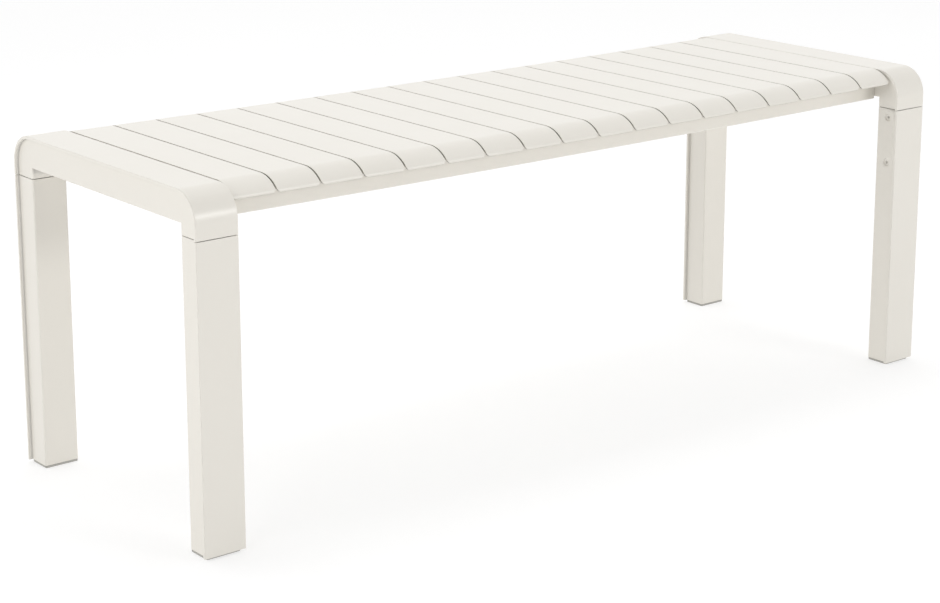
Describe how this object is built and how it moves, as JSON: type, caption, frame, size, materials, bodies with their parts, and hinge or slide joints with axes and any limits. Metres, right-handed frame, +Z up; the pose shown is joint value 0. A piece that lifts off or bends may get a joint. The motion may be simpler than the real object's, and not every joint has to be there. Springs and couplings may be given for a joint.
{
  "type": "garden bench",
  "caption": "Backless garden bench: powder-coated aluminium end arches on square legs, joined by rails that carry rolled-edge cross slats with narrow gaps.",
  "frame": {"origin": "on the floor, under the middle of the seat", "axes": "+X along the bench's length, -Y towards the front edge, +Z up"},
  "size_m": [1.295, 0.45, 0.46],
  "materials": {
    "powder_coat": "warm off-white textured powder coat on aluminium, satin",
    "cast_coat": "the same warm off-white powder coat on the arched end tops, satin",
    "bare_alloy": "mill-finish aluminium, hidden inside",
    "screw_steel": "stainless steel rail bolts and slat screws",
    "glide_nylon": "matt grey-beige nylon foot glides"
  },
  "bodies": {
    "root": {"front_left_foot_glide": "glide_nylon", "front_left_leg": "powder_coat", "front_left_leg_screw_1": "powder_coat", "front_left_leg_screw_2": "powder_coat", "front_left_leg_spigot": "bare_alloy", "front_rail": "powder_coat", "front_rail_bolt_left": "screw_steel", "front_rail_bolt_right": "screw_steel", "front_rail_spigot_left": "bare_alloy", "front_rail_spigot_right": "bare_alloy", "front_right_foot_glide": "glide_nylon", "front_right_leg": "powder_coat", "front_right_leg_screw_1": "powder_coat", "front_right_leg_screw_2": "powder_coat", "front_right_leg_spigot": "bare_alloy", "left_end_arch": "cast_coat", "rear_left_foot_glide": "glide_nylon", "rear_left_leg": "powder_coat", "rear_left_leg_screw_1": "powder_coat", "rear_left_leg_screw_2": "powder_coat", "rear_left_leg_spigot": "bare_alloy", "rear_rail": "powder_coat", "rear_rail_bolt_left": "screw_steel", "rear_rail_bolt_right": "screw_steel", "rear_rail_spigot_left": "bare_alloy", "rear_rail_spigot_right": "bare_alloy", "rear_right_foot_glide": "glide_nylon", "rear_right_leg": "powder_coat", "rear_right_leg_screw_1": "powder_coat", "rear_right_leg_screw_2": "powder_coat", "rear_right_leg_spigot": "bare_alloy", "right_end_arch": "cast_coat", "slat_01": "powder_coat", "slat_02": "powder_coat", "slat_03": "powder_coat", "slat_04": "powder_coat", "slat_05": "powder_coat", "slat_06": "powder_coat", "slat_07": "powder_coat", "slat_08": "powder_coat", "slat_09": "powder_coat", "slat_10": "powder_coat", "slat_11": "powder_coat", "slat_12": "powder_coat", "slat_13": "powder_coat", "slat_14": "powder_coat", "slat_15": "powder_coat", "slat_16": "powder_coat", "slat_17": "powder_coat", "slat_18": "powder_coat"}
  },
  "joints": []
}
